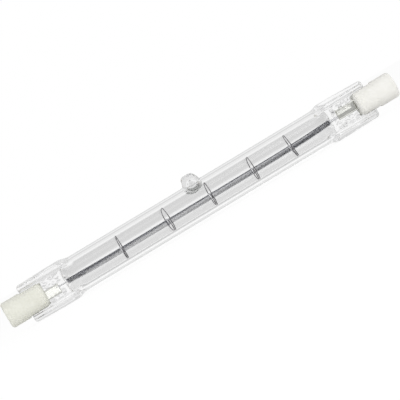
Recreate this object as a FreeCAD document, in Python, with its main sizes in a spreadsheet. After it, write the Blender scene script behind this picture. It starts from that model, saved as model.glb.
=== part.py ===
"""Double-ended linear halogen lamp, in millimetres.

A clear quartz tube is pressed flat at both ends on thin foils that carry the current
through the glass. A coiled filament runs along the tube's axis on wire spirals, and a
slotted ceramic cap with a recessed contact is cemented on each flat end.

X runs along the lamp, Y is square to the pressed flats and Z points up, along the sealed
exhaust tip. The lamp lies on the lower edges of its two pressed ends, at Z = 0, and the
origin is on that plane under the middle of the lamp.
"""
import FreeCAD, Part
import math
import os

import Sketcher
from FreeCAD import Placement, Rotation, Vector

doc = FreeCAD.newDocument("linear_halogen_lamp")

# Driving dimensions
DIMENSIONS = [
    # quartz tube
    ("quartz_length", 104.3),
    ("tube_od", 10.0),
    ("tube_bore", 6.9),
    # pressed ends of the tube
    ("pinch_length", 14.9),
    ("pinch_width", 11.2),
    ("shoulder_length", 2.9),
    ("rail_thickness", 4.2),
    ("web_thickness", 2.4),
    ("web_ramp", 0.9),
    ("bore_overrun", 2.6),
    ("bore_taper", 3.2),
    # exhaust tip
    ("tip_offset", 0.55),
    ("tip_height", 2.5),
    ("tip_base_dia", 4.75),
    ("tip_shoulder_height", 1.7),
    ("tip_shoulder_dia", 3.8),
    ("tip_top_dia", 2.5),
    ("tip_funnel_dia", 4.3),
    ("tip_funnel_end_dia", 1.2),
    ("tip_seal", 1.6),
    # filament and its supports
    ("coil_od", 1.6),
    ("coil_bore", 1.0),
    ("coil_end_gap", 0.25),
    ("coil_side_gap", 0.3),
    ("support_wire", 0.35),
    ("ring_gap", 0.03),
    ("grip_gap", 0.05),
    ("grip_offset", 1.2),
    # current leads
    ("lead_clearance", 0.03),
    ("lead_in_coil", 4.8),
    ("foil_length", 8.2),
    ("foil_width", 2.8),
    ("foil_thickness", 0.05),
    ("foil_face", 0.3),
    ("foil_margin", 1.55),
    ("weld_overlap", 1.6),
    ("outer_lead_dia", 0.8),
    # ceramic caps
    ("cap_dia", 7.15),
    ("cap_length", 11.6),
    ("cap_solid", 5.5),
    ("cap_rim_edge", 0.4),
    ("cap_nose_radius", 1.3),
    ("cap_side_clearance", 0.18),
    ("cement_gap", 0.2),
    ("left_slot_gap", 0.3),
    ("right_slot_gap", 2.0),
    # contacts
    ("recess_dia", 3.6),
    ("recess_depth", 1.7),
    ("contact_dia", 3.0),
    ("contact_clearance", 0.05),
    ("contact_head", 0.8),
    ("lead_hole_clearance", 0.1),
]

# Each support: its place as a share of the way from the coil's middle to its end, and its
# turn about Z and lean about Y in degrees
SUPPORTS = [
    (-0.598, 2.0, 0.0),
    (-0.242, 11.0, -1.0),
    (0.081, 6.0, 0.5),
    (0.407, 6.0, 0.0),
    (0.7, 4.0, -6.5),
]

# How far round each part of a support's spiral goes, and the sides of its wire's section
RING_SWEEP_DEG = 250.0
GRIP_SWEEP_DEG = 180.0
WIRE_SIDES = 4

LEFT, RIGHT = -1, 1
SIDE_NAMES = {LEFT: "left", RIGHT: "right"}

dim = doc.addObject("Spreadsheet::Sheet", "dim")
for row, (alias, size) in enumerate(DIMENSIONS, start=1):
    dim.set(f"A{row}", alias)
    dim.set(f"B{row}", str(size))
    dim.setAlias(f"B{row}", alias)
for number, (share, turn, lean) in enumerate(SUPPORTS, start=1):
    row = len(DIMENSIONS) + number
    dim.set(f"A{row}", f"support {number}: share, turn, lean")
    for column, alias, size in zip("BCD", ("share", "turn", "lean"), (share, turn, lean)):
        dim.set(f"{column}{row}", str(size))
        dim.setAlias(f"{column}{row}", f"support_{number}_{alias}")
doc.recompute()

# Places along the lamp that several pieces share, from the middle of the quartz tube
QUARTZ_END = "dim.quartz_length / 2"
PINCH_START = f"({QUARTZ_END} - dim.pinch_length)"
PRESS_START = f"({PINCH_START} + dim.shoulder_length)"
BORE_END = f"({PINCH_START} + dim.bore_overrun)"
COIL_END = f"({BORE_END} - dim.coil_end_gap)"
FOIL_END = f"({QUARTZ_END} - dim.foil_margin)"
FOIL_START = f"({FOIL_END} - dim.foil_length)"

# The quartz sits off the middle of the lamp, because one cap is pushed further on
QUARTZ_MIDDLE = "(dim.left_slot_gap - dim.right_slot_gap) / 2"
AXIS_HEIGHT = "dim.pinch_width / 2"

WEB_WIDTH = "(dim.cap_dia + 2 * dim.cap_side_clearance)"
SLOT_WIDTH = "(dim.web_thickness + 2 * dim.cement_gap)"
INNER_LEAD_DIA = "(dim.coil_bore - 2 * dim.lead_clearance)"
CONTACT_BACK = "(dim.recess_depth + dim.contact_head)"

ALONG_X = Rotation(Vector(0, 1, 0), 90)
REACH = 1.0  # how far a cut runs past the surface that it opens


def value(expression):
    """The number that an expression on the sheet gives."""
    return float(dim.evalExpression(str(expression)))


def bind(thing, **sizes):
    """Ties a thing's properties to expressions."""
    for name, expression in sizes.items():
        thing.setExpression(name, expression)


def put(thing, x="0", y="0", z="0", turn=Rotation()):
    """Ties a thing's place to expressions, with X and Z from the lamp's own axis."""
    thing.Placement = Placement(Vector(), turn)
    thing.setExpression("Placement.Base.x", x)
    thing.setExpression("Placement.Base.y", y)
    thing.setExpression("Placement.Base.z", f"{AXIS_HEIGHT} + {z}")


def in_quartz(side, start, end):
    """The lower X of a stretch that runs from start to end, away from the tube's middle."""
    if side == RIGHT:
        return f"{QUARTZ_MIDDLE} + ({start})"
    return f"{QUARTZ_MIDDLE} - ({end})"


def slot_gap(side):
    return f"dim.{SIDE_NAMES[side]}_slot_gap"


def new_body(label):
    body = doc.addObject("PartDesign::Body", label)
    body.Label = label
    return body


def origin_part(body, role):
    return next(f for f in body.Origin.OriginFeatures if f.Role == role)


def new_sketch(body, name, plane, lift=None):
    """A sketch on one of the body's own planes, lifted off it along the plane's normal."""
    sketch = body.newObject("Sketcher::SketchObject", name)
    sketch.AttachmentSupport = [(origin_part(body, plane), "")]
    sketch.MapMode = "FlatFace"
    if lift:
        sketch.setExpression("AttachmentOffset.Base.z", lift)
    return sketch


def circle(sketch, diameter):
    """A circle round the sketch's origin."""
    geo = sketch.addGeometry(Part.Circle(Vector(), Vector(0, 0, 1), value(diameter) / 2))
    sketch.addConstraint(Sketcher.Constraint("Coincident", geo, 3, -1, 1))
    index = sketch.addConstraint(Sketcher.Constraint("Diameter", geo, value(diameter)))
    sketch.setExpression(f"Constraints[{index}]", diameter)


def outline(sketch, *corners):
    """A closed outline of straight edges, with every corner tied to the sheet."""
    points = [Vector(value(x), value(y), 0) for x, y in corners]
    edges = [
        sketch.addGeometry(Part.LineSegment(points[i - 1], points[i])) for i in range(len(points))
    ]
    for i, edge in enumerate(edges):
        after = edges[(i + 1) % len(edges)]
        sketch.addConstraint(Sketcher.Constraint("Coincident", edge, 2, after, 1))
        for axis, expression in zip(("DistanceX", "DistanceY"), corners[i]):
            pin = Sketcher.Constraint(axis, -1, 1, edge, 2, value(expression))
            index = sketch.addConstraint(pin)
            sketch.setExpression(f"Constraints[{index}]", expression)


def rectangle(sketch, x0, y0, x1, y1):
    outline(sketch, (x0, y0), (x1, y0), (x1, y1), (x0, y1))


def feature(body, kind, name, sketch, **settings):
    """A feature made from a sketch, with plain settings and, given as text, tied lengths."""
    thing = body.newObject(f"PartDesign::{kind}", name)
    thing.Profile = sketch
    for setting, content in settings.items():
        if setting in ("Length", "Length2"):
            thing.setExpression(setting, content)
        else:
            setattr(thing, setting, content)
    return thing


def spun(body, kind, name, sketch, axis):
    """A full turn of a sketch about its own H_Axis or V_Axis."""
    return feature(body, kind, name, sketch, ReferenceAxis=(sketch, [axis]), Angle=360)


def cylinder(name, diameter, length, x):
    """A round bar along the lamp's axis, from x on."""
    bar = doc.addObject("Part::Cylinder", name)
    bind(bar, Radius=f"{diameter} / 2", Height=length)
    put(bar, x=x, turn=ALONG_X)
    return bar


def box(name, length, width, height, x, y, z):
    """A block whose lowest corner is at x, y, z from the lamp's own axis."""
    block = doc.addObject("Part::Box", name)
    bind(block, Length=length, Width=width, Height=height)
    put(block, x=x, y=y, z=z)
    return block


def cut(name, base, *tools):
    """The base less the tools."""
    tool = tools[0]
    if len(tools) > 1:
        tool = doc.addObject("Part::MultiFuse", f"{name}_tools")
        tool.Shapes = list(tools)
    rest = doc.addObject("Part::Cut", name)
    rest.Label = name
    rest.Base = base
    rest.Tool = tool
    return rest


def make_filament():
    """The coiled filament, taken as the tube that its close turns fill."""
    body = new_body("filament")
    sketch = new_sketch(body, "coil_section", "YZ_Plane")
    circle(sketch, "dim.coil_od")
    circle(sketch, "dim.coil_bore")
    feature(body, "Pad", "coil_turns", sketch, Length=f"2 * {COIL_END}", SideType="Symmetric")
    put(body, x=QUARTZ_MIDDLE)
    return body


def make_support(number):
    """One wire spiral: a turn that grips the coil, half a turn outwards and a ring on the bore.

    The grip and the ring are both round the lamp's axis, in parallel planes that are tilted
    as the wire was bent. The half turn leans from one plane to the other. It leaves the grip
    where the wire runs square to the axis, so that all three arcs are tangent where they meet.
    """
    # The wire's section has few flat sides, and the area of the round wire
    share_of_turn = 2 * math.pi / WIRE_SIDES
    corner_radius = value("dim.support_wire") / 2 * math.sqrt(share_of_turn / math.sin(share_of_turn))
    ring_radius = value("dim.tube_bore") / 2 - corner_radius - value("dim.ring_gap")
    grip_radius = value("dim.coil_od") / 2 + corner_radius + value("dim.grip_gap")
    ring_middle = Vector()
    grip_middle = Vector(value("dim.grip_offset"), 0, 0)
    turn = Rotation(Vector(0, 0, 1), value(f"dim.support_{number}_turn"))
    lean = Rotation(Vector(0, 1, 0), value(f"dim.support_{number}_lean"))
    tilt = lean * turn
    across = tilt.multVec(Vector(0, 1, 0))
    upward = tilt.multVec(Vector(0, 0, 1))
    square_on = math.degrees(math.atan2(upward.x, across.x))

    def spoke(degrees):
        angle = math.radians(square_on + degrees)
        return across * math.cos(angle) + upward * math.sin(angle)

    halves = (0, 0.5, 1)
    grip = [grip_middle + spoke(GRIP_SWEEP_DEG * (share - 1)) * grip_radius for share in halves]
    ring = [ring_middle + spoke(180 + RING_SWEEP_DEG * share) * ring_radius for share in halves]
    half_turn = (grip[2] + ring[0]) / 2 + spoke(90) * ((grip[2] - ring[0]).Length / 2)
    arcs = [Part.Arc(*grip), Part.Arc(grip[2], half_turn, ring[0]), Part.Arc(*ring)]
    path = Part.Wire([arc.toShape() for arc in arcs])

    outward = (grip[0] - grip_middle).normalize()
    normal = across.cross(upward)
    corners = []
    for corner in range(WIRE_SIDES + 1):
        angle = share_of_turn * (corner + 0.5)
        offset = outward * math.cos(angle) + normal * math.sin(angle)
        corners.append(grip[0] + offset * corner_radius)

    support = doc.addObject("Part::Feature", f"filament_support_{number}")
    support.Shape = path.makePipe(Part.Face(Part.makePolygon(corners)))
    place = value(f"{QUARTZ_MIDDLE} + dim.support_{number}_share * {COIL_END}")
    support.Placement = Placement(Vector(place, 0, value(AXIS_HEIGHT)), Rotation())
    return support


def make_inner_lead(side):
    """The pin from inside the coil's end to the foil, with a flat where the foil is welded."""
    name = SIDE_NAMES[side]
    start = f"({COIL_END} - dim.lead_in_coil)"
    end = f"({FOIL_START} + dim.weld_overlap)"
    pin = cylinder(f"{name}_pin", INNER_LEAD_DIA, f"{end} - {start}", in_quartz(side, start, end))
    flat = box(
        f"{name}_pin_flat", "dim.weld_overlap", INNER_LEAD_DIA, INNER_LEAD_DIA,
        in_quartz(side, FOIL_START, end), f"-dim.foil_face - {INNER_LEAD_DIA}", f"-{INNER_LEAD_DIA} / 2",
    )
    return cut(f"{name}_inner_lead", pin, flat)


def make_foil(side):
    """The thin foil that the quartz is pressed on, which makes the gas-tight seal."""
    foil = box(
        f"{SIDE_NAMES[side]}_foil", "dim.foil_length", "dim.foil_thickness", "dim.foil_width",
        in_quartz(side, FOIL_START, FOIL_END), "-dim.foil_face - dim.foil_thickness", "-dim.foil_width / 2",
    )
    return foil


def make_outer_lead(side):
    """The wire from the foil, out of the pressed end and through the cap to the contact's back."""
    name = SIDE_NAMES[side]
    start = f"({FOIL_END} - dim.weld_overlap)"
    end = f"({QUARTZ_END} + {slot_gap(side)} + dim.cap_solid - {CONTACT_BACK})"
    wire = cylinder(
        f"{name}_wire", "dim.outer_lead_dia", f"{end} - {start}", in_quartz(side, start, end)
    )
    flat = box(
        f"{name}_wire_flat", "dim.weld_overlap", "dim.outer_lead_dia", "dim.outer_lead_dia",
        in_quartz(side, start, FOIL_END), "-dim.foil_face - dim.outer_lead_dia", "-dim.outer_lead_dia / 2",
    )
    return cut(f"{name}_outer_lead", wire, flat)


def make_quartz_blank():
    """The glass before the metal is let in: a tube with two pressed ends and a sealed tip.

    Each end goes from the round tube through a sloping shoulder to a flat slab. The jaws
    leave a thin web between two thicker rails, and the bore closes in a round end.
    """
    body = new_body("quartz_blank")

    tube = new_sketch(body, "tube_section", "YZ_Plane")
    circle(tube, "dim.tube_od")
    feature(body, "Pad", "tube", tube, Length=f"2 * {PINCH_START}", SideType="Symmetric")

    shoulder_round = new_sketch(body, "shoulder_round", "YZ_Plane", PINCH_START)
    circle(shoulder_round, "dim.tube_od")
    slab = new_sketch(body, "slab_section", "YZ_Plane", PRESS_START)
    y, z = "dim.rail_thickness / 2", "dim.pinch_width / 2"
    rectangle(slab, f"-{y}", f"-{z}", y, z)
    shoulder = body.newObject("PartDesign::AdditiveLoft", "shoulder")
    shoulder.Profile = shoulder_round
    shoulder.Sections = [slab]
    press_length = "dim.pinch_length - dim.shoulder_length"
    press = feature(body, "Pad", "pressed_slab", slab, Length=press_length)

    # The web, seen from the lower edge: a ramp down from each face and a flat to the end
    jaws = new_sketch(body, "jaw_marks", "XY_Plane")
    for face in ("", "-"):
        outline(
            jaws,
            (PRESS_START, f"{face}{y}"),
            (f"{PRESS_START} + dim.web_ramp", f"{face}dim.web_thickness / 2"),
            (f"{QUARTZ_END} + {REACH}", f"{face}dim.web_thickness / 2"),
            (f"{QUARTZ_END} + {REACH}", f"{face}({y} + {REACH})"),
            (PRESS_START, f"{face}({y} + {REACH})"),
        )
    web = feature(body, "Pocket", "web", jaws, Length=WEB_WIDTH, SideType="Symmetric")

    other_end = body.newObject("PartDesign::Mirrored", "other_end")
    other_end.Originals = [shoulder, press, web]
    other_end.MirrorPlane = (origin_part(body, "YZ_Plane"), [""])
    body.Tip = other_end

    # The tip, melted off short: a stub that narrows a little, with a blunt top
    tip = new_sketch(body, "tip_profile", "XZ_Plane")
    tip.setExpression("AttachmentOffset.Base.x", "dim.tip_offset")
    middle_of_wall = "(dim.tube_od + dim.tube_bore) / 4"
    top = "(dim.tube_od / 2 + dim.tip_height)"
    outline(
        tip,
        ("0", middle_of_wall), ("dim.tip_base_dia / 2", middle_of_wall),
        ("dim.tip_shoulder_dia / 2", "dim.tube_od / 2 + dim.tip_shoulder_height"),
        ("dim.tip_top_dia / 2", top), ("0", top),
    )
    spun(body, "Revolution", "exhaust_tip", tip, "V_Axis")

    bore = new_sketch(body, "bore_profile", "XZ_Plane")
    taper = f"({BORE_END} - dim.bore_taper)"
    wall = "dim.tube_bore / 2"
    bore_end_radius = "(dim.coil_od / 2 + dim.coil_side_gap)"
    outline(
        bore,
        (f"-{BORE_END}", "0"), (BORE_END, "0"), (BORE_END, bore_end_radius), (taper, wall),
        (f"-{taper}", wall), (f"-{BORE_END}", bore_end_radius),
    )
    spun(body, "Groove", "bore", bore, "H_Axis")

    funnel = new_sketch(body, "funnel_profile", "XZ_Plane")
    funnel.setExpression("AttachmentOffset.Base.x", "dim.tip_offset")
    mouth = "dim.tube_bore / 4"
    funnel_end = f"{top} - dim.tip_seal"
    outline(
        funnel,
        ("0", mouth), ("dim.tip_funnel_dia / 2", mouth), ("dim.tip_funnel_dia / 2", wall),
        ("dim.tip_funnel_end_dia / 2", funnel_end), ("0", funnel_end),
    )
    spun(body, "Groove", "tip_funnel", funnel, "V_Axis")
    put(body, x=QUARTZ_MIDDLE)
    return body


def make_cap(side):
    """A pressed ceramic cap: round, with a slot that straddles the web and a contact recess."""
    name = SIDE_NAMES[side]
    body = new_body(f"{name}_cap")
    radius, rim, nose = "dim.cap_dia / 2", "dim.cap_rim_edge", "dim.cap_nose_radius"
    half_round = f"{nose} * (1 - sqrt(0.5))"

    profile = new_sketch(body, f"{name}_cap_profile", "XY_Plane")
    outline(
        profile,
        ("0", "0"), ("dim.cap_length", "0"), ("dim.cap_length", f"{radius} - {nose}"),
        (f"dim.cap_length - {half_round}", f"{radius} - {half_round}"),
        (f"dim.cap_length - {nose}", radius), (rim, radius), ("0", f"{radius} - {rim}"),
    )
    spun(body, "Revolution", f"{name}_cap_round", profile, "H_Axis")

    slot = new_sketch(body, f"{name}_cap_slot_outline", "XY_Plane")
    slot_end = f"dim.cap_length + {REACH}"
    rectangle(slot, "dim.cap_solid", f"-{SLOT_WIDTH} / 2", slot_end, f"{SLOT_WIDTH} / 2")
    across = f"dim.cap_dia + 2 * {REACH}"
    feature(body, "Pocket", f"{name}_cap_slot", slot, Length=across, SideType="Symmetric")

    hollow = new_sketch(body, f"{name}_cap_hollow", "XY_Plane")
    floor, recess = "dim.recess_depth", "dim.recess_dia / 2"
    seat = "(dim.contact_dia / 2 + dim.contact_clearance)"
    hole = "(dim.outer_lead_dia / 2 + dim.lead_hole_clearance)"
    outline(
        hollow,
        (f"-{REACH}", "0"), (f"dim.cap_solid + {REACH}", "0"), (f"dim.cap_solid + {REACH}", hole),
        (CONTACT_BACK, hole), (CONTACT_BACK, seat), (floor, seat), (floor, recess), (f"-{REACH}", recess),
    )
    spun(body, "Groove", f"{name}_cap_recess", hollow, "H_Axis")
    place_at_end(body, side)
    return body


def place_at_end(thing, side):
    """Puts a piece that is drawn from a cap's outer end inwards at the left or right end."""
    reach = f"({QUARTZ_END} + {slot_gap(side)} + dim.cap_solid)"
    if side == LEFT:
        put(thing, x=f"{QUARTZ_MIDDLE} - {reach}")
    else:
        put(thing, x=f"{QUARTZ_MIDDLE} + {reach}", turn=Rotation(Vector(0, 0, 1), 180))


def make_contact(side):
    """A metal button in a seat in the recess's floor, with the lead welded to its back."""
    body = new_body(f"{SIDE_NAMES[side]}_contact")
    face = new_sketch(body, f"{SIDE_NAMES[side]}_contact_face", "YZ_Plane", "dim.recess_depth")
    circle(face, "dim.contact_dia")
    feature(body, "Pad", f"{SIDE_NAMES[side]}_contact_button", face, Length="dim.contact_head")
    place_at_end(body, side)
    return body


def make_cement(side, quartz, lead):
    """The cement that fills the cap's slot round the web, up to where the nose rounds off."""
    depth = "(dim.cap_length - dim.cap_solid - dim.cap_nose_radius)"
    width = f"sqrt(dim.cap_dia ^ 2 - {SLOT_WIDTH} ^ 2)"
    end = f"({QUARTZ_END} + {slot_gap(side)})"
    fill = box(
        f"{SIDE_NAMES[side]}_slot_fill", depth, SLOT_WIDTH, width,
        in_quartz(side, f"{end} - {depth}", end), f"-{SLOT_WIDTH} / 2", f"-{width} / 2",
    )
    return cut(f"{SIDE_NAMES[side]}_cement", fill, quartz, lead)


pieces = [make_filament()]
pieces += [make_support(number) for number in range(1, len(SUPPORTS) + 1)]

seals = {
    side: [make_inner_lead(side), make_foil(side), make_outer_lead(side)] for side in (LEFT, RIGHT)
}
pieces += seals[LEFT] + seals[RIGHT]

# The soft quartz closes on the leads and foils, so they leave their own shape in it
quartz_blank = make_quartz_blank()
quartz = cut("quartz_envelope", quartz_blank, *seals[LEFT], *seals[RIGHT])
pieces.append(quartz)

for side in (LEFT, RIGHT):
    outer_lead = seals[side][2]
    pieces += [make_cap(side), make_contact(side), make_cement(side, quartz_blank, outer_lead)]

doc.recompute()

for thing in doc.Objects:
    if "Invalid" in thing.State or "Error" in thing.State:
        raise RuntimeError(f"{thing.Label} failed: {thing.State}")
for piece in pieces:
    if piece.Shape.isNull() or not piece.Shape.isValid():
        raise RuntimeError(f"{piece.Label} has no sound shape")

os.makedirs("parts", exist_ok=True)
for piece in pieces:
    piece.Shape.exportStep(f"parts/{piece.Label}.step")
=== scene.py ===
import math

import bmesh
import bpy
from mathutils import Matrix, Vector, noise


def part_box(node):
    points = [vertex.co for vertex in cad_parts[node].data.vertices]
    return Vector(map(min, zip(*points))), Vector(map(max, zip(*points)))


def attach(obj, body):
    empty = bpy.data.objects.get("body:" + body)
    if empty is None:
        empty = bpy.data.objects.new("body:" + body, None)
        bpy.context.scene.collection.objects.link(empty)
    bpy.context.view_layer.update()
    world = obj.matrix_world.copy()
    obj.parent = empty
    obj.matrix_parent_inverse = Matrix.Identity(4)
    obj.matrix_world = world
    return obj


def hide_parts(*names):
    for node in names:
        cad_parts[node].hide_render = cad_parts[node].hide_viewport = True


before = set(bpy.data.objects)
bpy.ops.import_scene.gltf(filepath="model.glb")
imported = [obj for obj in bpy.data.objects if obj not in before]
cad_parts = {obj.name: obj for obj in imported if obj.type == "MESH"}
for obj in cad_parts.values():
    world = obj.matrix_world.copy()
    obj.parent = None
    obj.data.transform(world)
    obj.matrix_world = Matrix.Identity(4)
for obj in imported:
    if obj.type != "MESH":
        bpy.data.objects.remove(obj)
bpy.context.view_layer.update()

# Filament. One tungsten wire wound on a mandrel into a long open coil, which glows along its
# whole length. It is held up by five wire spirals and hangs a little below the lamp's axis.
MM = 0.001
coil_low, coil_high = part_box("filament")
AXIS = (coil_low.z + coil_high.z) / 2 / MM
COIL_START = coil_low.x / MM
COIL_END = coil_high.x / MM
COIL_RADIUS = (coil_high.z - coil_low.z) / 2 / MM
COIL_WIRE = 0.15
COIL_SIDES = 6
COIL_STEPS = 16
# A real coil has more turns. These, a run of 20 doubled four times, are coarse enough to show.
COIL_RUN = 20
COIL_DOUBLINGS = 4
SAG = 0.65
SAG_MIDDLE = -3
SAG_HALF = 42
LEG_STEPS = ((-0.05, 0.25, 0.02), (-0.12, 0.16, 0.2), (-0.25, 0.02, 0.45))
LEG_TURN = 38


def shade(code):
    """An sRGB hex colour as linear RGBA."""
    parts = [int(code[i:i + 2], 16) / 255 for i in (0, 2, 4)]
    return [c / 12.92 if c <= 0.04045 else ((c + 0.055) / 1.055) ** 2.4 for c in parts] + [1.0]


def finish_of(name):
    """An empty node material, named for the real finish."""
    material = bpy.data.materials.new(name)
    material.use_nodes = True
    material.node_tree.nodes.clear()
    return material, material.node_tree


def add(tree, kind, sockets=None, **settings):
    """Adds a node with its settings. A socket takes a value, or the output that feeds it."""
    made = tree.nodes.new(kind)
    for name, setting in settings.items():
        setattr(made, name, setting)
    for name, source in (sockets or {}).items():
        if isinstance(source, bpy.types.NodeSocket):
            tree.links.new(source, made.inputs[name])
        else:
            made.inputs[name].default_value = source
    return made


def hang(x):
    """How far the coil hangs below the axis at x, in mm: least at its two held ends."""
    along = min(max(x, COIL_START), COIL_END)
    return SAG * (1 - ((along - SAG_MIDDLE) / SAG_HALF) ** 6)


def fitted(name, mesh_mm, material, slot, *nodes, crease=180.0):
    """A shape drawn in mm about the lamp's axis becomes a finished piece in its place."""
    bmesh.ops.translate(mesh_mm, vec=(0, 0, AXIS), verts=mesh_mm.verts)
    bmesh.ops.scale(mesh_mm, vec=(MM, MM, MM), verts=mesh_mm.verts)
    for face in mesh_mm.faces:
        face.smooth = True
    mesh = bpy.data.meshes.new(name)
    mesh_mm.to_mesh(mesh)
    mesh_mm.free()
    if crease < 180.0:
        mesh.set_sharp_from_angle(angle=math.radians(crease))
    mesh.materials.append(material)
    piece = bpy.data.objects.new(name, mesh)
    bpy.context.scene.collection.objects.link(piece)
    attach(piece, "root")
    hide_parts(*nodes)
    return piece


# Tungsten wire, drawn and heat-set: a dark bluish grey metal, dulled by fine die lines.
tungsten, tree = finish_of("drawn_tungsten")
place = add(tree, "ShaderNodeTexCoord").outputs["Object"]
die_lines = add(tree, "ShaderNodeTexNoise", {"Vector": place, "Scale": 1 / (0.25 * MM), "Detail": 3.0})
dulling = add(tree, "ShaderNodeMapRange", {
    "Value": die_lines.outputs["Fac"], "To Min": 0.14, "To Max": 0.24})
tone = add(tree, "ShaderNodeMix", {0: die_lines.outputs["Fac"], 6: shade("3A3C48"), 7: shade("666874")},
           data_type="RGBA")
metal = add(tree, "ShaderNodeBsdfPrincipled", {
    "Base Color": tone.outputs[2], "Metallic": 1.0, "Roughness": dulling.outputs["Result"]})
add(tree, "ShaderNodeOutputMaterial", {"Surface": metal.outputs["BSDF"]})

coil = bmesh.new()
lay = COIL_RADIUS - COIL_WIRE / 2
first_turn = Matrix.Translation((COIL_START + COIL_WIRE / 2, 0, lay)) @ Matrix.Rotation(math.pi / 2, 4, "X")
bmesh.ops.create_circle(coil, segments=COIL_SIDES, radius=COIL_WIRE / 2, matrix=first_turn)
pitch = (COIL_END - COIL_START - COIL_WIRE) / (COIL_RUN * 2 ** COIL_DOUBLINGS)
bmesh.ops.spin(coil, geom=coil.verts[:] + coil.edges[:], axis=(1, 0, 0), cent=(0, 0, 0),
               dvec=(pitch / COIL_STEPS, 0, 0), angle=math.tau * COIL_RUN, steps=COIL_RUN * COIL_STEPS)
for doubling in range(COIL_DOUBLINGS):
    more = bmesh.ops.duplicate(coil, geom=coil.verts[:] + coil.edges[:] + coil.faces[:])["geom"]
    bmesh.ops.translate(coil, verts=[v for v in more if isinstance(v, bmesh.types.BMVert)],
                        vec=(pitch * COIL_RUN * 2 ** doubling, 0, 0))
bmesh.ops.remove_doubles(coil, verts=coil.verts, dist=0.002)
leg_end = [e for e in coil.edges if e.is_boundary and e.verts[0].co.x < COIL_START + 0.5]
# The wire's left end leaves the coil as a short leg, bent up and outwards.
for step in LEG_STEPS:
    leg = bmesh.ops.extrude_edge_only(coil, edges=leg_end)["geom"]
    leg_end = [e for e in leg if isinstance(e, bmesh.types.BMEdge)]
    corners = [v for v in leg if isinstance(v, bmesh.types.BMVert)]
    middle = sum((v.co for v in corners), Vector()) / len(corners)
    bmesh.ops.rotate(coil, verts=corners, cent=middle,
                     matrix=Matrix.Rotation(math.radians(LEG_TURN), 3, "X"))
    bmesh.ops.translate(coil, verts=corners, vec=step)
bmesh.ops.holes_fill(coil, edges=[e for e in coil.edges if e.is_boundary], sides=COIL_SIDES)
for vert in coil.verts:
    vert.co.z -= hang(vert.co.x)
bmesh.ops.recalc_face_normals(coil, faces=coil.faces)
fitted("filament_coil", coil, tungsten, "tungsten", "filament", crease=60)

# Filament supports. Five lengths of thin wire, each bent to a spiral: one turn that grips the
# coil, half a turn outwards, and a ring that springs against the bore of the glass.
BORE_RADIUS = 3.45
SUPPORT_WIRE = 0.25
SUPPORT_SIDES = 8
GRIP_TURNS = 1
GRIP_ADVANCE = 0.3
GRIP_BACK = 0.5
OUT_ADVANCE = 0.05
RING_TURNS = 0.95
RING_ADVANCE = 0.28
RING_CLEARANCE = 0.03
BEND_STEPS = 36
GLINT_FULL = 1.3
GLINT_END = 1.7
SUPPORT_LEANS = ((0, 0), (6, -1), (0, 0.5), (0, 0), (-4, -6.5))

# Molybdenum wire: dull grey from its heating, painted pale and matt near the axis as a painted highlight.
support_metal, tree = finish_of("molybdenum_wire")
place = add(tree, "ShaderNodeTexCoord").outputs["Object"]
scale_film = add(tree, "ShaderNodeTexNoise", {"Vector": place, "Scale": 1 / (0.6 * MM), "Detail": 4.0})
tone = add(tree, "ShaderNodeMix", {0: scale_film.outputs["Fac"], 6: shade("6C6A6E"), 7: shade("8E8C90")},
           data_type="RGBA")
flat = add(tree, "ShaderNodeVectorMath", {0: place, 1: (0, 1, 1)}, operation="MULTIPLY")
off_axis = add(tree, "ShaderNodeVectorMath", {0: flat.outputs["Vector"], 1: (0, 0, AXIS * MM)},
               operation="DISTANCE")
# Painted highlight: near the axis the wire is pale and less metallic, on the grip turn and on the pins and
# leads that share this finish.
painted_glint = add(tree, "ShaderNodeMapRange", {
    "Value": off_axis.outputs["Value"], "From Min": GLINT_FULL * MM, "From Max": GLINT_END * MM,
    "To Min": 1.0, "To Max": 0.0})
past_glint = add(tree, "ShaderNodeMath", {0: 1.0, 1: painted_glint.outputs["Result"]}, operation="SUBTRACT")
glint_tone = add(tree, "ShaderNodeMix", {0: painted_glint.outputs["Result"], 6: tone.outputs[2], 7: shade("F0EFF2")},
              data_type="RGBA")
metal = add(tree, "ShaderNodeBsdfPrincipled", {
    "Base Color": glint_tone.outputs[2], "Metallic": past_glint.outputs["Value"], "Roughness": 0.28})
add(tree, "ShaderNodeOutputMaterial", {"Surface": metal.outputs["BSDF"]})

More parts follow.
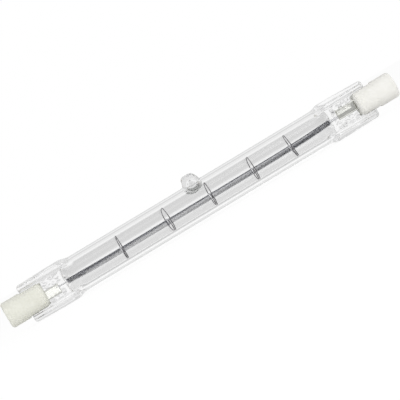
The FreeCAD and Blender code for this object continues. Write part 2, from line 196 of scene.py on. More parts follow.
for number, (turn, lean) in enumerate(SUPPORT_LEANS, start=1):
    low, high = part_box(f"filament_support_{number}")
    across = (low.x + high.x) / 2 / MM
    grip = COIL_RADIUS + SUPPORT_WIRE / 2
    ring = BORE_RADIUS - SUPPORT_WIRE / 2 - RING_CLEARANCE
    spiral = bmesh.new()
    upright = Matrix.Rotation(math.pi / 2, 4, "X")
    at_grip = Matrix.Translation((-GRIP_TURNS * GRIP_ADVANCE - GRIP_BACK, 0, grip)) @ upright
    bmesh.ops.create_circle(spiral, segments=SUPPORT_SIDES, radius=SUPPORT_WIRE / 2, matrix=at_grip)
    # Each bend starts from the last ring of the one before: grip, half turn out, ring on the bore.
    bends = (
        (0.0, GRIP_TURNS, GRIP_TURNS * GRIP_ADVANCE),
        (-(ring - grip) / 2, 0.5, OUT_ADVANCE),
        (0.0, RING_TURNS, RING_ADVANCE),
    )
    last = spiral.verts[:] + spiral.edges[:]
    for centre, spun, advance in bends:
        steps = round(spun * BEND_STEPS)
        last = bmesh.ops.spin(spiral, geom=last, axis=(1, 0, 0), cent=(0, 0, centre), angle=math.tau * spun,
                              dvec=(advance / steps, 0, 0), steps=steps)["geom_last"]
    bmesh.ops.holes_fill(spiral, edges=[e for e in spiral.edges if e.is_boundary], sides=SUPPORT_SIDES)
    bmesh.ops.rotate(spiral, verts=spiral.verts, matrix=Matrix.Rotation(math.radians(turn), 3, "Z"))
    bmesh.ops.rotate(spiral, verts=spiral.verts, matrix=Matrix.Rotation(math.radians(lean), 3, "Y"))
    for vert in spiral.verts:
        near = 1 - min(max((math.hypot(vert.co.y, vert.co.z) - grip) / (ring - grip), 0), 1)
        vert.co.z -= near * hang(across)
    bmesh.ops.translate(spiral, verts=spiral.verts, vec=(across, 0, 0))
    bmesh.ops.recalc_face_normals(spiral, faces=spiral.faces)
    fitted(f"support_spiral_{number}", spiral, support_metal, "molybdenum_wire",
           f"filament_support_{number}", crease=60)

# Inner leads. A straight pin at each end, pushed into the coil and welded to the sealing foil;
# its outer end is flattened for the weld.
PIN_SIDES = 20
PIN_END = 0.6
WELD_LENGTH = 1.5
WELD_FLAT = 0.6
WELD_BACK = 0.02

for side, weld, neck in (("left", 0.6, 0.42), ("right", 0.8, 0.8)):
    low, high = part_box(f"{side}_inner_lead")
    pin = bmesh.new()
    radius = (high.z - low.z) / 2 / MM
    start, end = low.x / MM, high.x / MM
    outer, inner = (start, end) if side == "left" else (end, start)
    along = 1 if inner > outer else -1
    lie = Matrix.Rotation(math.pi / 2, 4, "Y")
    bmesh.ops.create_circle(pin, segments=PIN_SIDES, radius=radius * PIN_END,
                            matrix=Matrix.Translation((outer, 0, 0)) @ lie)
    edges = pin.edges[:]
    reach = abs(inner - outer)
    stations = ((0.1, weld), (WELD_LENGTH, weld), (2.2, neck), (3.9, neck), (4.3, 1),
                (reach - 0.2, 1), (reach, 0.7))
    for x, share in stations:
        grown = bmesh.ops.extrude_edge_only(pin, edges=edges)["geom"]
        edges = [e for e in grown if isinstance(e, bmesh.types.BMEdge)]
        for vert in (v for v in grown if isinstance(v, bmesh.types.BMVert)):
            spoke = Vector((0, vert.co.y, vert.co.z)).normalized() * radius * share
            vert.co = (outer + along * x, spoke.y, spoke.z)
    bmesh.ops.holes_fill(pin, edges=[e for e in pin.edges if e.is_boundary], sides=PIN_SIDES)
    for vert in pin.verts:
        if abs(vert.co.x - outer) < WELD_LENGTH:
            vert.co.y = vert.co.y * WELD_FLAT + WELD_BACK
        vert.co.z -= hang(vert.co.x)
    bmesh.ops.recalc_face_normals(pin, faces=pin.faces)
    fitted(f"{side}_lead_pin", pin, support_metal, "molybdenum_wire", f"{side}_inner_lead", crease=50)

# Sealing foils. A strip of rolled molybdenum, a few hundredths thick with feathered edges, pressed
# into the hot glass so that it seals; the press leaves it crinkled and a little out of true.
FOIL_GRID = 80
FOIL_THICKNESS = 0.04

# Rolled molybdenum: a bright silvery metal, streaked along the rolling.
foil_metal, tree = finish_of("molybdenum_foil")
place = add(tree, "ShaderNodeTexCoord").outputs["Object"]
rolling = add(tree, "ShaderNodeMapping", {"Vector": place, "Scale": (1, 6, 6)})
streaks = add(tree, "ShaderNodeTexNoise", {"Vector": rolling.outputs["Vector"], "Scale": 1 / (1.5 * MM),
                                           "Detail": 3.0})
tone = add(tree, "ShaderNodeMix", {0: streaks.outputs["Fac"], 6: shade("DADBD4"), 7: shade("F6F6F2")},
           data_type="RGBA")
crinkle = add(tree, "ShaderNodeBump", {
    "Height": streaks.outputs["Fac"], "Strength": 0.1, "Distance": 0.05 * MM})
metal = add(tree, "ShaderNodeBsdfPrincipled", {
    "Base Color": tone.outputs[2], "Metallic": 1.0, "Roughness": 0.14, "Normal": crinkle.outputs["Normal"]})
add(tree, "ShaderNodeOutputMaterial", {"Surface": metal.outputs["BSDF"]})


def ease(low, high, x):
    """Rises smoothly from 0 at low to 1 at high."""
    share = min(max((x - low) / (high - low), 0), 1)
    return share * share * (3 - 2 * share)


for side, tilt, drop, crease in (("left", -18.5, -0.7, 0.0), ("right", -4.0, 0.4, 0.26)):
    low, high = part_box(f"{side}_foil")
    strip = bmesh.new()
    length, width = (high.x - low.x) / MM, (high.z - low.z) / MM
    middle = Vector(((low.x + high.x) / 2, (low.y + high.y) / 2, 0)) / MM
    upright = Matrix.Rotation(math.pi / 2, 4, "X")
    bmesh.ops.create_grid(strip, x_segments=FOIL_GRID, y_segments=FOIL_GRID, size=0.5, matrix=upright)
    bmesh.ops.scale(strip, verts=strip.verts, vec=(length, 1, width))
    for vert in strip.verts:
        x, z = vert.co.x, vert.co.z
        vert.co.y += 0.02 * math.sin(1.3 * x + 0.8 * z) + 0.12 * (2 * z / width) ** 10
        vert.co.y += 0.12 * (2 * x / length) ** 30
        # The right foil has a creased patch by its weld, bent back above the pin.
        inward = x + length / 2
        patch = ease(0.2, 0.5, inward) * (1 - ease(4.0, 4.6, inward))
        bent = min(max(z + 0.1, 0), 0.9) + 0.03 * math.sin(math.tau * z / 0.45) * ease(-0.2, 0, z)
        vert.co.y += crease * patch * bent
    bmesh.ops.rotate(strip, verts=strip.verts, matrix=Matrix.Rotation(math.radians(tilt), 3, "X"))
    bmesh.ops.translate(strip, verts=strip.verts, vec=middle + Vector((0, 0, drop)))
    bmesh.ops.recalc_face_normals(strip, faces=strip.faces)
    bmesh.ops.solidify(strip, geom=strip.faces[:], thickness=FOIL_THICKNESS)
    fitted(f"{side}_seal_foil", strip, foil_metal, "molybdenum_foil", f"{side}_foil", crease=60)

# Quartz envelope. A drawn tube of fused quartz, heated at each end and pressed between jaws into a
# flat web with a thick rail along either edge; the exhaust tube on top is melted off to a tip.
glass_low, glass_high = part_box("quartz_envelope")
GLASS_START = glass_low.x / MM
GLASS_END = glass_high.x / MM
TUBE_RADIUS = 4.985
RAIL_EDGE = AXIS
RAIL_HALF = 2.1
RAIL_ROUND = 0.45
RAIL_START = 3.9
WEB_HALF = 1.2
WEB_EDGE = 3.3
PRESS_FADE = (10.6, 11.4)
WAVE = 1.25
GROOVE_DEPTH = 0.19
GROOVE_HALF = 0.1
END_ROUND = 0.25
CORNER_ROUND = 0.8
BORE_DEPTH = 12.05
TIP_X = -0.3
ROUND = 192


def from_end(x):
    """How far x lies from the nearer end of the glass, in mm."""
    return max(min(x - GLASS_START, GLASS_END - x), 0)


def pressed(step, edge):
    """A point of the pressed section's quarter outline, from the web's middle at 0 to 24."""
    if step <= 8:
        return WEB_HALF, WEB_EDGE * step / 8
    if step <= 12:
        share = (step - 8) / 4
        height = WEB_EDGE + (RAIL_START - WEB_EDGE) * share
        return WEB_HALF + (RAIL_HALF - WEB_HALF) * ease(0, 1, share), height
    if step <= 18:
        return RAIL_HALF, RAIL_START + (edge - RAIL_ROUND - RAIL_START) * (step - 12) / 6
    if step <= 21:
        bend = math.pi / 2 * (step - 18) / 3
        return (RAIL_HALF - RAIL_ROUND * (1 - math.cos(bend)), edge - RAIL_ROUND * (1 - math.sin(bend)))
    return (RAIL_HALF - RAIL_ROUND) * (24 - step) / 3, edge


def set_back(radius, depth):
    """How far an end rounded to that radius stands back, at a depth from its face."""
    short = max(radius - depth, 0)
    return radius - math.sqrt(max(radius ** 2 - short ** 2, 0))


def shoulder(depth):
    """The share of the way from the pressed end's thickness to the round tube's."""
    return ease(11.0, 16.4, depth)


def glass_skin(point):
    """Where a point of a plain tube goes once its ends are pressed."""
    x = point.x
    depth = from_end(x)
    around = math.atan2(abs(point.z), abs(point.y)) / (math.pi / 2) * 24
    round_y = TUBE_RADIUS * math.cos(around * math.pi / 48)
    round_z = TUBE_RADIUS * math.sin(around * math.pi / 48)
    flat_y, flat_z = pressed(around, RAIL_EDGE - 0.25 * (1 - min(depth / 9, 1)))
    in_press = 1 - ease(*PRESS_FADE, depth)
    # The jaws leave waves across the web and a peeled skin on it, calm in front of the foil.
    on_web = ease(1.2, 2.0, flat_z) * (1 - ease(3.0, 3.5, flat_z)) * in_press
    flat_y += on_web * 0.12 * math.sin(math.tau * depth / WAVE)
    peel = max(noise.noise(Vector((x * 1.1, point.y * 3, flat_z * 1.1 + point.z))) - 0.08, 0) * 0.6
    peel += noise.noise(Vector((x * 2.3, point.y * 3, flat_z * 2.3 - point.z))) * 0.08
    calm = ease(1.2, 2.2, flat_z) if point.y < 0 else 1
    flat_y += peel * calm * (1 - ease(3.1, 3.6, flat_z)) * in_press
    # Fine grooves run along the rails: two on the left one on top, one on each of the others.
    for line in (4.05, 4.8) if x < 0 < point.z else (4.45,):
        flat_y -= GROOVE_DEPTH * math.exp(-((flat_z - line) / GROOVE_HALF) ** 2)
    loose = noise.noise(Vector((x * 0.8, point.y * 0.5, point.z * 0.6)))
    flat_y += 0.05 * loose * (1 - ease(3.6, 4.2, flat_z))
    flat_y += 0.03 * loose * ease(3.6, 4.2, flat_z)
    if x > 0 > point.z:
        flat_y *= 1 - 0.11 * max(flat_z - RAIL_START, 0)
    flat_z += 0.05 * loose * ease(4.9, 5.4, flat_z)
    y = flat_y + (round_y - flat_y) * shoulder(depth)
    z = flat_z + (round_z - flat_z) * ease(12.6, 15.6, depth)
    z -= set_back(CORNER_ROUND, depth) * ease(3.0, 5.0, z)
    y -= set_back(END_ROUND, depth)
    return Vector((x, math.copysign(y, point.y), math.copysign(min(z, RAIL_EDGE), point.z)))


def bore_skin(point):
    """The bore: round along the tube, flattened to a wedge inside each pressed end.

    The wall keeps its thickness as the jaws close it, and a channel stays open round the coil.
    """
    depth = from_end(point.x)
    closing = min(max((15.0 - depth) / 2.95, 0), 1)
    high = math.sqrt(max(1 - closing ** 8, 0.003))
    z = point.z * high
    half = WEB_HALF + (TUBE_RADIUS - WEB_HALF) * shoulder(depth) - (TUBE_RADIUS - BORE_RADIUS)
    y = abs(point.y) * max(half, 0.05) / BORE_RADIUS
    channel = min(1.0, 0.95 * BORE_RADIUS * high)
    y = max(y, math.sqrt(max(channel ** 2 - z ** 2, 0)))
    return Vector((point.x, math.copysign(y, point.y), z))


def drawn(stations, radius):
    """A plain tube, open at both ends, with a ring at every station."""
    tube = bmesh.new()
    lie = Matrix.Translation((stations[0], 0, 0)) @ Matrix.Rotation(math.pi / 2, 4, "Y")
    bmesh.ops.create_circle(tube, segments=ROUND, radius=radius, matrix=lie)
    edges = tube.edges[:]
    for before, after in zip(stations, stations[1:]):
        grown = bmesh.ops.extrude_edge_only(tube, edges=edges)["geom"]
        edges = [e for e in grown if isinstance(e, bmesh.types.BMEdge)]
        verts = [v for v in grown if isinstance(v, bmesh.types.BMVert)]
        bmesh.ops.translate(tube, verts=verts, vec=(after - before, 0, 0))
    return tube


def pulled(tube, radius, reach, rings):
    """Opens the wall round the tip's axis and pulls the rim up through rings to a closed end."""
    gone = []
    for face in tube.faces:
        middle = face.calc_center_median()
        if middle.z > 0 and math.hypot(middle.x - TIP_X, radius * math.atan2(middle.y, middle.z)) < reach:
            gone.append(face)
    bmesh.ops.delete(tube, geom=gone, context="FACES")
    rim = [e for e in tube.edges if e.is_boundary and abs(e.verts[0].co.x - TIP_X) < reach + 1]
    for ring, height, level, skew in rings:
        grown = bmesh.ops.extrude_edge_only(tube, edges=rim)["geom"]
        rim = [e for e in grown if isinstance(e, bmesh.types.BMEdge)]
        for vert in (v for v in grown if isinstance(v, bmesh.types.BMVert)):
            spoke = Vector((vert.co.x - TIP_X, vert.co.y)).normalized() * ring
            on_tube = math.sqrt(radius ** 2 - spoke.y ** 2) + height - radius
            vert.co = (TIP_X + skew + spoke.x, spoke.y, level * height + (1 - level) * on_tube)
    bmesh.ops.edgeloop_fill(tube, edges=rim)


fine = [0.0, 0.03, 0.08, 0.15, 0.25, 0.4, 0.6, 0.8]
fine += [0.8 + 0.25 * step for step in range(1, 64)]
near = [GLASS_START + depth for depth in fine]
far = [GLASS_END - depth for depth in reversed(fine)]
round_tip = [TIP_X + 0.33 * step for step in range(-12, 13)]


def spread(start, end):
    """Stations about 3 mm apart on a plain stretch of tube, its two ends left out."""
    steps = round((end - start) / 3)
    return [start + (end - start) * step / steps for step in range(1, steps)]


skin = drawn(near + spread(near[-1], round_tip[0]) + round_tip + spread(round_tip[-1], far[0]) + far,
             TUBE_RADIUS)
for vert in skin.verts:
    vert.co = glass_skin(vert.co)
# The tip, ring by ring: radius, height, how level the ring is, and its lean to the left.
pulled(skin, TUBE_RADIUS, 2.95, (
    (2.9, 5.00, 0.0, 0.0), (2.6, 5.0, 0.0, 0.0), (2.54, 5.02, 0.04, 0.0), (2.5, 5.07, 0.14, 0.0),
    (2.46, 5.2, 0.32, 0.0), (2.4, 5.36, 0.52, 0.0),
    (2.32, 5.50, 0.7, 0.0), (2.25, 5.75, 0.9, -0.01), (2.16, 6.05, 1.0, -0.03), (2.06, 6.35, 1.0, -0.06),
    (1.94, 6.62, 1.0, -0.09), (1.80, 6.88, 1.0, -0.12), (1.6, 7.12, 1.0, -0.15), (1.33, 7.31, 1.0, -0.18),
    (1.0, 7.43, 1.0, -0.2), (0.6, 7.49, 1.0, -0.2), (0.25, 7.50, 1.0, -0.2)))
for vert in skin.verts:
    out = Vector((vert.co.x - TIP_X, vert.co.y, 0))
    if vert.co.z > 5.3 and out.length < 3:
        vert.co += out * 0.06 * noise.noise(vert.co * 1.1)
for x in (GLASS_START, GLASS_END):
    bmesh.ops.edgeloop_fill(skin, edges=[e for e in skin.edges
                                         if e.is_boundary and abs(e.verts[0].co.x - x) < 0.01])
bmesh.ops.recalc_face_normals(skin, faces=skin.faces)

bore_ends = (GLASS_START + BORE_DEPTH, GLASS_END - BORE_DEPTH)
taper = [0.0, 0.05, 0.12, 0.22, 0.35, 0.5] + [0.5 + 0.2 * step for step in range(1, 21)]
bore_near = [bore_ends[0] + depth for depth in taper]
bore_far = [bore_ends[1] - depth for depth in reversed(taper)]
bore = drawn(bore_near + spread(bore_near[-1], round_tip[0]) + round_tip + spread(round_tip[-1], bore_far[0])
             + bore_far, BORE_RADIUS)
for vert in bore.verts:
    vert.co = bore_skin(vert.co)
pulled(bore, BORE_RADIUS, 2.5, (
    (2.42, 3.43, 0.0, 0.0), (2.32, 3.34, 0.0, 0.0), (2.2, 3.31, 0.0, 0.0), (2.1, 3.36, 0.05, 0.0),
    (2.02, 3.5, 0.12, 0.0), (1.95, 3.75, 0.35, 0.0), (1.82, 4.02, 0.65, 0.0),
    (1.62, 4.35, 0.9, 0.0), (1.4, 4.68, 1.0, 0.0), (1.18, 5.0, 1.0, 0.0), (0.95, 5.3, 1.0, -0.02),
    (0.7, 5.56, 1.0, -0.04), (0.45, 5.75, 1.0, -0.06), (0.2, 5.86, 1.0, -0.08)))
for x in bore_ends:
    bmesh.ops.edgeloop_fill(bore, edges=[e for e in bore.edges
                                         if e.is_boundary and abs(e.verts[0].co.x - x) < 0.01])
# A small bubble stays in the tip where it was melted off.
bubble = Matrix.Translation((TIP_X + 0.35, 0, 6.75)) @ Matrix.Diagonal((0.7, 0.4, 0.36, 1))
bmesh.ops.create_uvsphere(bore, u_segments=32, v_segments=16, radius=1.0, matrix=bubble)
bmesh.ops.recalc_face_normals(bore, faces=bore.faces)
bmesh.ops.reverse_faces(bore, faces=bore.faces)
wall = bpy.data.meshes.new("bore_wall")
bore.to_mesh(wall)
bore.free()
skin.from_mesh(wall)
bpy.data.meshes.remove(wall)

# Fused quartz: clear, colourless and fire-polished, with faint draw waves along the tube.
quartz, tree = finish_of("fused_quartz")
place = add(tree, "ShaderNodeTexCoord").outputs["Object"]
draw = add(tree, "ShaderNodeMapping", {"Vector": place, "Scale": (0.25, 1, 1)})
waves = add(tree, "ShaderNodeTexNoise", {
    "Vector": draw.outputs["Vector"], "Scale": 1 / (2.5 * MM), "Detail": 1.0})
ripple = add(tree, "ShaderNodeBump", {
    "Height": waves.outputs["Fac"], "Strength": 0.1, "Distance": 0.05 * MM})
# Painted shade: a dark grey ring on the bore round the mouth of the melted-off exhaust tube.
mouth = (TIP_X * MM, 0, (AXIS + 3.1) * MM)
from_tip = add(tree, "ShaderNodeVectorMath", {0: place, 1: mouth}, operation="DISTANCE").outputs["Value"]
flat = add(tree, "ShaderNodeVectorMath", {0: place, 1: (0, 1, 1)}, operation="MULTIPLY")
off_axis = add(tree, "ShaderNodeVectorMath", {0: flat.outputs["Vector"], 1: (0, 0, AXIS * MM)},
               operation="DISTANCE").outputs["Value"]
# Each limit of the painted ring: the distance in mm at which there is no shade, then full shade.
limits = ((from_tip, 2.55, 2.4), (from_tip, 1.85, 2.0), (off_axis, 3.1, 3.2), (off_axis, 3.9, 3.7))
painted_ring_shade = 1.0
for distance, none, full in limits:
    edge = add(tree, "ShaderNodeMapRange", {"Value": distance, "From Min": none * MM, "From Max": full * MM})
    painted_ring_shade = add(tree, "ShaderNodeMath", {0: painted_ring_shade, 1: edge.outputs["Result"]},
                operation="MULTIPLY").outputs["Value"]
ring_shade_tone = add(tree, "ShaderNodeMix", {0: painted_ring_shade, 6: shade("FFFFFF"), 7: shade("6E706E")}, data_type="RGBA")
glass = add(tree, "ShaderNodeBsdfPrincipled", {
    "Base Color": ring_shade_tone.outputs[2], "Roughness": 0.0, "IOR": 1.458, "Transmission Weight": 1.0,
    "Normal": ripple.outputs["Normal"]})
clear = add(tree, "ShaderNodeBsdfTransparent", {"Color": shade("EFF1F0")})
path = add(tree, "ShaderNodeLightPath")
passing = add(tree, "ShaderNodeMixShader", {
    0: path.outputs["Is Shadow Ray"], 1: glass.outputs["BSDF"], 2: clear.outputs["BSDF"]})
add(tree, "ShaderNodeOutputMaterial", {"Surface": passing.outputs["Shader"]})
fitted("quartz_lamp_glass", skin, quartz, "fused_quartz", "quartz_envelope", crease=50)

# Outer leads. A stiff molybdenum wire, welded to each foil and led through the cap to its
# contact; the cap hides it.
for side in ("left", "right"):
    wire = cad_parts[f"{side}_outer_lead"]
    wire.data.materials.clear()
    wire.data.materials.append(support_metal)

# Contacts. A turned button, plated with nickel, seated in the floor of each cap's recess and
# fused to the outer lead; the lamp holder's spring pin presses on it.

# Nickel plate: a warm pale metal, dulled in patches by rubbing.
nickel, tree = finish_of("nickel_plate")
place = add(tree, "ShaderNodeTexCoord").outputs["Object"]
rubbing = add(tree, "ShaderNodeTexNoise", {"Vector": place, "Scale": 1 / (0.4 * MM), "Detail": 5.0})
dulling = add(tree, "ShaderNodeMapRange", {"Value": rubbing.outputs["Fac"], "To Min": 0.18, "To Max": 0.42})
metal = add(tree, "ShaderNodeBsdfPrincipled", {
    "Base Color": shade("C4BFB4"), "Metallic": 1.0, "Roughness": dulling.outputs["Result"]})
add(tree, "ShaderNodeOutputMaterial", {"Surface": metal.outputs["BSDF"]})

for side, out in (("left", -1), ("right", 1)):
    low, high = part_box(f"{side}_contact")
    radius = (high.z - low.z) / 2 / MM
    back = (high.x if side == "left" else low.x) / MM
    face = (low.x if side == "left" else high.x) / MM
    button = bmesh.new()
    outline = ((back, 0.0), (back, radius - 0.1), (back + out * 0.1, radius), (face - out * 0.3, radius),
               (face - out * 0.15, radius - 0.06), (face - out * 0.06, radius - 0.18),
               (face - out * 0.03, 1.0), (face, 0.55), (face - out * 0.03, 0.35),
               (face - out * 0.12, 0.2), (face - out * 0.15, 0.0))
    corners = [button.verts.new((x, 0, r)) for x, r in outline]
    profile = [button.edges.new(pair) for pair in zip(corners, corners[1:])]
    bmesh.ops.spin(button, geom=corners + profile, axis=(1, 0, 0), cent=(0, 0, 0), angle=math.tau, steps=64,
                   use_merge=True)
    bmesh.ops.remove_doubles(button, verts=button.verts, dist=0.0005)
    bmesh.ops.recalc_face_normals(button, faces=button.faces)
    fitted(f"{side}_contact_button", button, nickel, "nickel_plate", f"{side}_contact", crease=35)

# Caps. A pressed and fired steatite sleeve on each end: a solid head with the contact recess, and
# two tongues that straddle the glass web, with rounded ends.
CAP_RADIUS = 3.575
RECESS_RADIUS = 1.8
RECESS_DEPTH = 1.7
SEAT_RADIUS = 1.55
CAP_SOLID = 5.5
SLOT_HALF = 1.38
LIP = 0.2
RIM = 0.75
NOSE = 1.3

# Steatite: a dense, unglazed white ceramic, faintly green-grey, with a matt fired skin and specks.
steatite, tree = finish_of("steatite")
place = add(tree, "ShaderNodeTexCoord").outputs["Object"]
clouding = add(tree, "ShaderNodeTexNoise", {"Vector": place, "Scale": 1 / (2.2 * MM), "Detail": 4.0})
grit = add(tree, "ShaderNodeTexNoise", {"Vector": place, "Scale": 1 / (0.18 * MM), "Detail": 3.0})
# Painted shade: the cap at the left end is made a little darker than the one at the right.
along = add(tree, "ShaderNodeSeparateXYZ", {0: place})
side_shade = add(tree, "ShaderNodeMapRange", {"Value": along.outputs["X"], "From Min": -0.05, "From Max": 0.05})
dark = add(tree, "ShaderNodeMix", {0: side_shade.outputs["Result"], 6: shade("D5D5CA"), 7: shade("DDDCD6")},
           data_type="RGBA")
pale = add(tree, "ShaderNodeMix", {0: side_shade.outputs["Result"], 6: shade("E4E4DB"), 7: shade("EAE9E5")},
           data_type="RGBA")
tone = add(tree, "ShaderNodeMix", {0: clouding.outputs["Fac"], 6: dark.outputs[2], 7: pale.outputs[2]},
           data_type="RGBA")
fired = add(tree, "ShaderNodeBump", {"Height": grit.outputs["Fac"], "Strength": 0.3, "Distance": 0.04 * MM})
ceramic = add(tree, "ShaderNodeBsdfPrincipled", {
    "Base Color": tone.outputs[2], "Roughness": 0.48, "IOR": 1.55, "Subsurface Weight": 0.2,
    "Subsurface Radius": (1.0, 1.0, 0.95), "Subsurface Scale": 0.7 * MM, "Normal": fired.outputs["Normal"]})
add(tree, "ShaderNodeOutputMaterial", {"Surface": ceramic.outputs["BSDF"]})

for side, out in (("left", -1), ("right", 1)):
    low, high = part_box(f"{side}_cap")
    end = (low.x if side == "left" else high.x) / MM
    nose = (high.x if side == "left" else low.x) / MM
    seat = (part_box(f"{side}_contact")[1].x if side == "left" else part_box(f"{side}_contact")[0].x) / MM
    floor_x = end - out * RECESS_DEPTH
    outline = [(seat, 0.0), (seat, SEAT_RADIUS), (floor_x, SEAT_RADIUS), (floor_x, RECESS_RADIUS),
               (end - out * LIP, RECESS_RADIUS)]
    outline += [(end - out * LIP * (1 - math.sin(bend)), RECESS_RADIUS + LIP * (1 - math.cos(bend)))
                for bend in (math.pi / 8, math.pi / 4, math.pi * 3 / 8, math.pi / 2)]
    outline += [(end - out * RIM * (1 - math.cos(bend)), CAP_RADIUS - RIM * (1 - math.sin(bend)))
                for bend in [math.pi / 2 * step / 8 for step in range(9)]]
    outline += [(end + (nose - end) * share, CAP_RADIUS) for share in (0.3, 0.47, 0.6, 0.75)]
    outline += [(nose + out * NOSE * (1 - math.sin(bend)), CAP_RADIUS - NOSE * (1 - math.cos(bend)))
                for bend in [math.pi / 2 * step / 8 for step in range(9)]]
    outline += [(nose, 1.0), (nose, 0.0)]
    cap = bmesh.new()
    corners = [cap.verts.new((x, 0, r)) for x, r in outline]
    profile = [cap.edges.new(pair) for pair in zip(corners, corners[1:])]
    bmesh.ops.spin(cap, geom=corners + profile, axis=(1, 0, 0), cent=(0, 0, 0), angle=math.tau, steps=96,
                   use_merge=True)
    bmesh.ops.remove_doubles(cap, verts=cap.verts, dist=0.0005)
    slot_end = end - out * CAP_SOLID
    cuts = (((slot_end, 0, 0), (1, 0, 0)), ((0, SLOT_HALF, 0), (0, 1, 0)), ((0, -SLOT_HALF, 0), (0, 1, 0)))
    for spot, facing in cuts:
        bmesh.ops.bisect_plane(cap, geom=cap.verts[:] + cap.edges[:] + cap.faces[:], dist=0.0005,
                               plane_co=spot, plane_no=facing)
    in_slot = []
    for face in cap.faces:
        middle = face.calc_center_median()
        if abs(middle.y) < SLOT_HALF - 0.001 and (slot_end - middle.x) * out > 0.001:
            in_slot.append(face)
    bmesh.ops.delete(cap, geom=in_slot, context="FACES")
    open_verts = {v for e in cap.edges if e.is_boundary for v in e.verts}
    for level in (-SLOT_HALF, SLOT_HALF):
        pair = [v for v in open_verts if abs(v.co.x - slot_end) < 0.001 and abs(v.co.y - level) < 0.001]
        cap.edges.new(pair)
    for level in (-SLOT_HALF, SLOT_HALF):
        cheek = [e for e in cap.edges if len(e.link_faces) < 2
                 and all(abs(v.co.y - level) < 0.001 for v in e.verts)]
        bmesh.ops.edgeloop_fill(cap, edges=cheek)
    slot_floor = [e for e in cap.edges if len(e.link_faces) < 2]
    bmesh.ops.edgeloop_fill(cap, edges=slot_floor)
    bmesh.ops.recalc_face_normals(cap, faces=cap.faces)
    fitted(f"{side}_steatite_cap", cap, steatite, "steatite", f"{side}_cap", crease=35)

# Cement. A refractory paste pressed between cap and glass and baked hard; it fills the slot's gap
# and shows as a warm, sandy line beside the cap.
cement, tree = finish_of("baked_cement")
place = add(tree, "ShaderNodeTexCoord").outputs["Object"]
sand = add(tree, "ShaderNodeTexNoise", {"Vector": place, "Scale": 1 / (0.35 * MM), "Detail": 6.0})
tone = add(tree, "ShaderNodeMix", {0: sand.outputs["Fac"], 6: shade("EFE8D8"), 7: shade("F8F4EA")},
           data_type="RGBA")
sandy = add(tree, "ShaderNodeBump", {"Height": sand.outputs["Fac"], "Strength": 0.6, "Distance": 0.1 * MM})
paste = add(tree, "ShaderNodeBsdfPrincipled", {
    "Base Color": tone.outputs[2], "Roughness": 0.85, "Subsurface Weight": 0.6,
    "Subsurface Radius": (1.0, 0.95, 0.85), "Subsurface Scale": 0.5 * MM, "Normal": sandy.outputs["Normal"]})
add(tree, "ShaderNodeOutputMaterial", {"Surface": paste.outputs["BSDF"]})
for side in ("left", "right"):
    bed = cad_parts[f"{side}_cement"]
    bed.data.materials.clear()
    bed.data.materials.append(cement)

# Studio. A plain pale floor under the lamp, soft light from the front, both sides and above, and a
# pale room that the glass shows. The camera stands square before the lamp's left end and is rolled,
# so the lamp slopes.
scene = bpy.context.scene
scene.view_settings.view_transform = "Standard"
# Light is guided a long way inside the glass before it leaves.
scene.cycles.max_bounces = 96
scene.cycles.transmission_bounces = 96
scene.cycles.glossy_bounces = 96

FLOOR_GLOW = 0.88
FLOOR_LEVEL = 1.03
ZENITH = 0.2
WALL_TONES = (
    (0.0, 0.97), (0.02, 0.94), (0.04, 0.76), (0.06, 0.71), (0.1, 0.67), (0.15, 0.65), (0.23, 0.64),
    (0.35, 0.70), (0.4, 0.70), (0.53, 0.85), (0.75, 0.88), (0.87, 0.98), (0.93, 0.97), (0.97, ZENITH))

# Matt paper: an even white, which keeps the lamp's soft shadow.
backdrop, tree = finish_of("white_floor")
path = add(tree, "ShaderNodeLightPath")
seen = add(tree, "ShaderNodeMath", {0: path.outputs["Is Camera Ray"], 1: path.outputs["Is Glossy Ray"]},
           operation="MAXIMUM")
through = add(tree, "ShaderNodeMath", {0: seen.outputs["Value"], 1: path.outputs["Is Transmission Ray"]},
              operation="MAXIMUM")
share = add(tree, "ShaderNodeMath", {0: through.outputs["Value"], 1: FLOOR_GLOW}, operation="MULTIPLY")
across = add(tree, "ShaderNodeSeparateXYZ", {0: add(tree, "ShaderNodeTexCoord").outputs["Object"]})
# Through the glass, the paper carries painted shade: dimmer behind the lamp, and a painted shadow of the
# lamp before it.
near_edge = add(tree, "ShaderNodeMapRange", {
    "Value": across.outputs["Y"], "From Min": 0.0026, "From Max": 0.0042},
    interpolation_type="SMOOTHSTEP")
far_edge = add(tree, "ShaderNodeMapRange", {
    "Value": across.outputs["Y"], "From Min": 0.045, "From Max": 0.075, "To Min": 0.27, "To Max": 0.04},
    interpolation_type="SMOOTHSTEP")
away = add(tree, "ShaderNodeMath", {0: near_edge.outputs["Result"], 1: far_edge.outputs["Result"]},
           operation="MULTIPLY")
shade_start = add(tree, "ShaderNodeMapRange", {
    "Value": across.outputs["Y"], "From Min": -0.012, "From Max": -0.007},
    interpolation_type="SMOOTHSTEP")
shade_end = add(tree, "ShaderNodeMapRange", {
    "Value": across.outputs["Y"], "From Min": -0.0007, "From Max": 0.0007, "To Min": 0.45, "To Max": 0.0},
    interpolation_type="SMOOTHSTEP")
before = add(tree, "ShaderNodeMath", {0: shade_start.outputs["Result"], 1: shade_end.outputs["Result"]},
             operation="MULTIPLY")
core = add(tree, "ShaderNodeMapRange", {
    "Value": across.outputs["Y"], "From Min": -0.002, "From Max": -0.001, "To Min": 1.9, "To Max": 1.0},
    interpolation_type="SMOOTHSTEP")
under = add(tree, "ShaderNodeMath", {0: before.outputs["Value"], 1: core.outputs["Result"]},
            operation="MULTIPLY")
both = add(tree, "ShaderNodeMath", {0: away.outputs["Value"], 1: under.outputs["Value"]})
dimmed = add(tree, "ShaderNodeMath", {0: both.outputs["Value"], 1: path.outputs["Is Transmission Ray"]},
             operation="MULTIPLY")
level = add(tree, "ShaderNodeMath", {0: FLOOR_LEVEL, 1: dimmed.outputs["Value"]}, operation="SUBTRACT")
paper = add(tree, "ShaderNodeBsdfDiffuse", {"Color": shade("FAFAFA")})
lit = add(tree, "ShaderNodeEmission", {"Strength": level.outputs["Value"]})
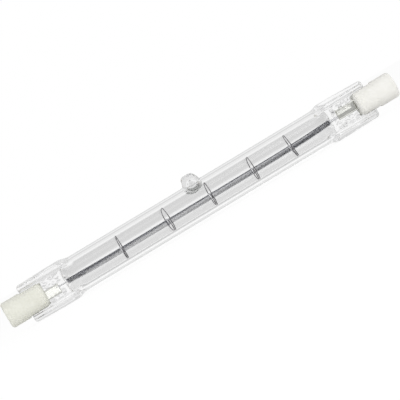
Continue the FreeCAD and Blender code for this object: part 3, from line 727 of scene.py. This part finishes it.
mixed = add(tree, "ShaderNodeMixShader", {
    0: share.outputs["Value"], 1: paper.outputs["BSDF"], 2: lit.outputs["Emission"]})
add(tree, "ShaderNodeOutputMaterial", {"Surface": mixed.outputs["Shader"]})
sheet = bmesh.new()
bmesh.ops.create_grid(sheet, x_segments=1, y_segments=1, size=3.0)
mesh = bpy.data.meshes.new("floor")
sheet.to_mesh(mesh)
sheet.free()
mesh.materials.append(backdrop)
floor = bpy.data.objects.new("floor", mesh)
scene.collection.objects.link(floor)

room = bpy.data.worlds.new("pale_room")
room.use_nodes = True
scene.world = room
tree = room.node_tree
tree.nodes.clear()
heading = add(tree, "ShaderNodeSeparateXYZ", {0: add(tree, "ShaderNodeTexCoord").outputs["Generated"]})
wall_tone = add(tree, "ShaderNodeValToRGB", {"Fac": heading.outputs["Z"]})
ramp = wall_tone.color_ramp
for spot, grey in WALL_TONES:
    stop = ramp.elements[0] if spot == 0.0 else ramp.elements.new(spot)
    stop.position = spot
    stop.color = (grey, grey, grey, 1)
ramp.elements[-1].color = (ZENITH, ZENITH, ZENITH, 1)
# Low down before the lamp the room is dusky, most at the two sides.
toward = add(tree, "ShaderNodeMapRange", {
    "Value": heading.outputs["Y"], "From Min": -0.5, "From Max": 0.1, "To Min": 1.0, "To Max": 0.0},
    interpolation_type="SMOOTHSTEP")
low_down = add(tree, "ShaderNodeMapRange", {
    "Value": heading.outputs["Z"], "From Min": 0.15, "From Max": 0.4, "To Min": 1.0, "To Max": 0.0},
    interpolation_type="SMOOTHSTEP")
right_dusk = add(tree, "ShaderNodeMapRange", {
    "Value": heading.outputs["X"], "From Min": 0.1, "From Max": 0.17, "To Min": 0.25, "To Max": 0.4},
    interpolation_type="SMOOTHSTEP")
left_dusk = add(tree, "ShaderNodeMapRange", {
    "Value": heading.outputs["X"], "From Min": 0.06, "From Max": 0.1, "To Min": 0.4, "To Max": 0.25},
    interpolation_type="SMOOTHSTEP")
nearby = add(tree, "ShaderNodeMath", {0: toward.outputs["Result"], 1: low_down.outputs["Result"]},
             operation="MULTIPLY")
dusks = add(tree, "ShaderNodeMath", {0: right_dusk.outputs["Result"], 1: left_dusk.outputs["Result"]},
            operation="MAXIMUM")
taken = add(tree, "ShaderNodeMath", {0: nearby.outputs["Value"], 1: dusks.outputs["Value"]},
            operation="MULTIPLY")
behind = add(tree, "ShaderNodeMath", {0: 1.0, 1: taken.outputs["Value"]}, operation="SUBTRACT")
glass_sees = add(tree, "ShaderNodeBackground", {"Color": wall_tone.outputs["Color"],
                                                "Strength": behind.outputs["Value"]})
fills = add(tree, "ShaderNodeBackground", {"Strength": 0.75})
white = add(tree, "ShaderNodeBackground", {"Color": (1, 1, 1, 1), "Strength": 1.0})
path = add(tree, "ShaderNodeLightPath")
shiny = add(tree, "ShaderNodeMath", {
    0: path.outputs["Is Glossy Ray"], 1: path.outputs["Is Transmission Ray"]}, operation="MAXIMUM")
inner = add(tree, "ShaderNodeMixShader", {
    0: shiny.outputs["Value"], 1: fills.outputs["Background"], 2: glass_sees.outputs["Background"]})
outer = add(tree, "ShaderNodeMixShader", {
    0: path.outputs["Is Camera Ray"], 1: inner.outputs["Shader"], 2: white.outputs["Background"]})
add(tree, "ShaderNodeOutputWorld", {"Surface": outer.outputs["Shader"]})

# Metal and glass show only the two lamps for the foils; the others light what is matt.
for name, spot, size, power, mirrored in (
        ("overhead", (0.05, -0.1, 0.45), 0.4, 0.06, False),
        ("right_side", (0.35, -0.3, 0.12), 0.25, 0.55, False),
        ("left_side", (-0.35, -0.3, 0.12), 0.25, 0.42, False),
        ("front", (0.0, -0.65, 0.03), 0.16, 1.1, False),
        ("left_foil", (-0.035, -0.298, 0.525), 0.2, 0.04, True),
        ("right_foil", (0.151, -0.282, 0.525), 0.2, 0.11, True)):
    softbox = bpy.data.lights.new(name, "AREA")
    softbox.shape = "DISK"
    softbox.size = size
    softbox.energy = power
    lamp = bpy.data.objects.new(name, softbox)
    lamp.location = spot
    lamp.rotation_euler = (Vector((0, 0, AXIS * MM)) - lamp.location).to_track_quat("-Z", "Y").to_euler()
    lamp.visible_transmission = mirrored
    lamp.visible_glossy = mirrored
    scene.collection.objects.link(lamp)

eye = Vector((-0.055, -0.56, 0.012))
aim = Vector((-0.00052, 0, AXIS * MM))
lens = bpy.data.cameras.new("camera")
lens.sensor_width = 36
lens.lens = 195.35
lens.clip_start = 0.01
camera = bpy.data.objects.new("camera", lens)
camera.location = eye
camera.rotation_euler = ((aim - eye).to_track_quat("-Z", "Y").to_matrix()
                         @ Matrix.Rotation(math.radians(-31.0), 3, "Z")).to_euler()
scene.collection.objects.link(camera)
scene.camera = camera
